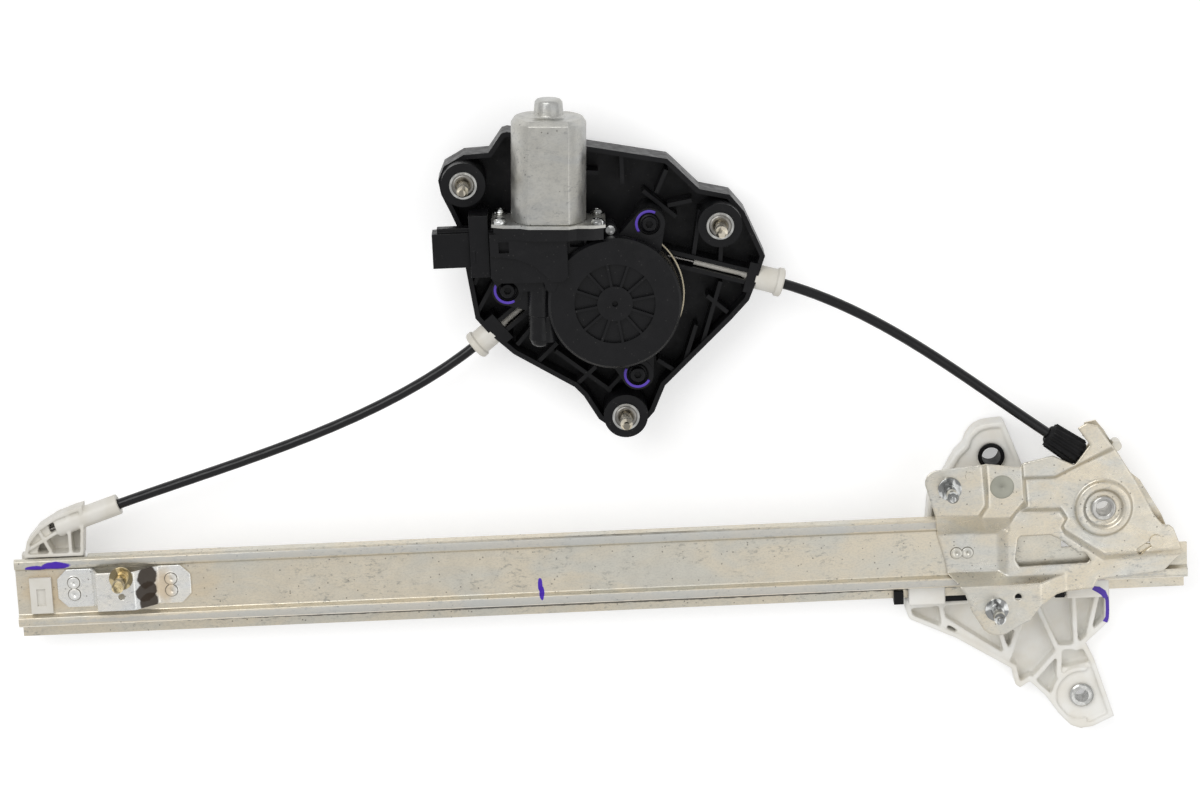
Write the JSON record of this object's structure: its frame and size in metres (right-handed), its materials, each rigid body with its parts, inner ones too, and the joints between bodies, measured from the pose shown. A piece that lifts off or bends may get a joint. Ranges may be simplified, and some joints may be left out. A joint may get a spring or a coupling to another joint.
{
  "type": "window regulator",
  "caption": "Cable window regulator: guide rail with a glass carrier pulled both ways by cables from a worm-geared motor and drum.",
  "frame": {"origin": "centre of the lower rail stud at its seating plane; the seats of all six studs lie in this plane", "axes": "+X along the rail towards the pulley end, +Y from the rail towards the motor, +Z along the studs"},
  "size_m": [0.597, 0.35, 0.059],
  "materials": {
    "zinc_rail": "zinc-plated deep-drawn sheet, warm grey with fine specks",
    "zinc_plate": "zinc-plated stamped sheet",
    "steel_stud": "bright plated, smooth",
    "steel_part": "plain machined steel",
    "motor_steel": "satin warm grey, drawn can",
    "white_acetal": "off-white moulded",
    "black_plastic": "satin black moulded",
    "gear_plastic": "ivory moulded",
    "conduit_black": "smooth jacket",
    "black_rubber": "matt",
    "steel_cable": "stranded wire",
    "bronze": "sintered",
    "gold_contact": "gold-flashed",
    "board_green": "solder mask",
    "ferrite": "dark ceramic",
    "brown_plastic": "moulded resin",
    "copper_wire": "enamelled wire",
    "core_steel": "stacked sheets"
  },
  "bodies": {
    "regulator_frame": {"guide_rail": "zinc_rail", "lower_bracket": "zinc_plate", "lower_stud": "steel_stud", "rail_clip": "white_acetal", "cable_guide": "white_acetal", "pulley_plate": "zinc_plate", "back_plate": "zinc_plate", "pulley_axle": "steel_part", "plate_studs": "steel_stud", "plate_rivets": "steel_part", "conduit_boot": "black_rubber", "right_conduit": "conduit_black", "left_conduit": "conduit_black", "right_fitting": "white_acetal", "left_fitting": "white_acetal", "drum_housing": "black_plastic", "housing_bushings": "steel_part", "housing_studs": "steel_stud", "gear_case": "black_plastic", "gear_cover": "black_plastic", "case_screws": "steel_part", "connector_module": "black_plastic", "connector_shroud": "black_plastic", "connector_pins": "gold_contact", "circuit_board": "board_green", "motor_can": "motor_steel", "motor_flange": "motor_steel", "flange_screws": "steel_stud", "magnets": "ferrite", "end_bearing": "bronze", "shaft_bushes": "bronze", "brush_holder": "brown_plastic", "brushes": "ferrite", "cables": "steel_cable", "rail_stop": "black_rubber"},
    "glass_carrier": {"carrier": "white_acetal", "glass_bushing": "steel_part", "grommet_clip": "black_plastic", "cable_nipples": "steel_part", "slide_shoes": "black_plastic"},
    "drum_train": {"cable_drum": "gear_plastic", "output_shaft": "steel_part", "worm_wheel": "gear_plastic"},
    "pulley_wheel": {"pulley": "black_plastic"},
    "motor_armature": {"armature_shaft": "steel_part", "armature_core": "core_steel", "armature_windings": "copper_wire", "commutator": "bronze"}
  },
  "joints": [
    {"name": "armature_spin", "type": "hinge", "parent": "regulator_frame", "child": "motor_armature", "pos_m": [0.2247, 0.1755, 0.003], "axis": [0.0454, 0.999, 0], "range_deg": [-69700, 1740]},
    {"name": "drum_spin", "type": "hinge", "parent": "regulator_frame", "child": "drum_train", "pos_m": [0.2557, 0.135, 0], "axis": [0, 0, 1], "range_deg": [-956, 24.5]},
    {"name": "carrier_slide", "type": "slide", "parent": "regulator_frame", "child": "glass_carrier", "axis": [1, 0, 0], "range_m": [-0.4005, 0.0102]},
    {"name": "pulley_spin", "type": "hinge", "parent": "regulator_frame", "child": "pulley_wheel", "pos_m": [0.4993, 0.0117, 0], "axis": [0, 0, 1], "range_deg": [-1434, 37]}
  ],
  "couplings": [
    {"joint": "drum_spin", "follows": "armature_spin", "ratio": 0.013699},
    {"joint": "carrier_slide", "follows": "armature_spin", "m_per_rad": 0.00032877},
    {"joint": "pulley_spin", "follows": "armature_spin", "ratio": 0.020548}
  ]
}
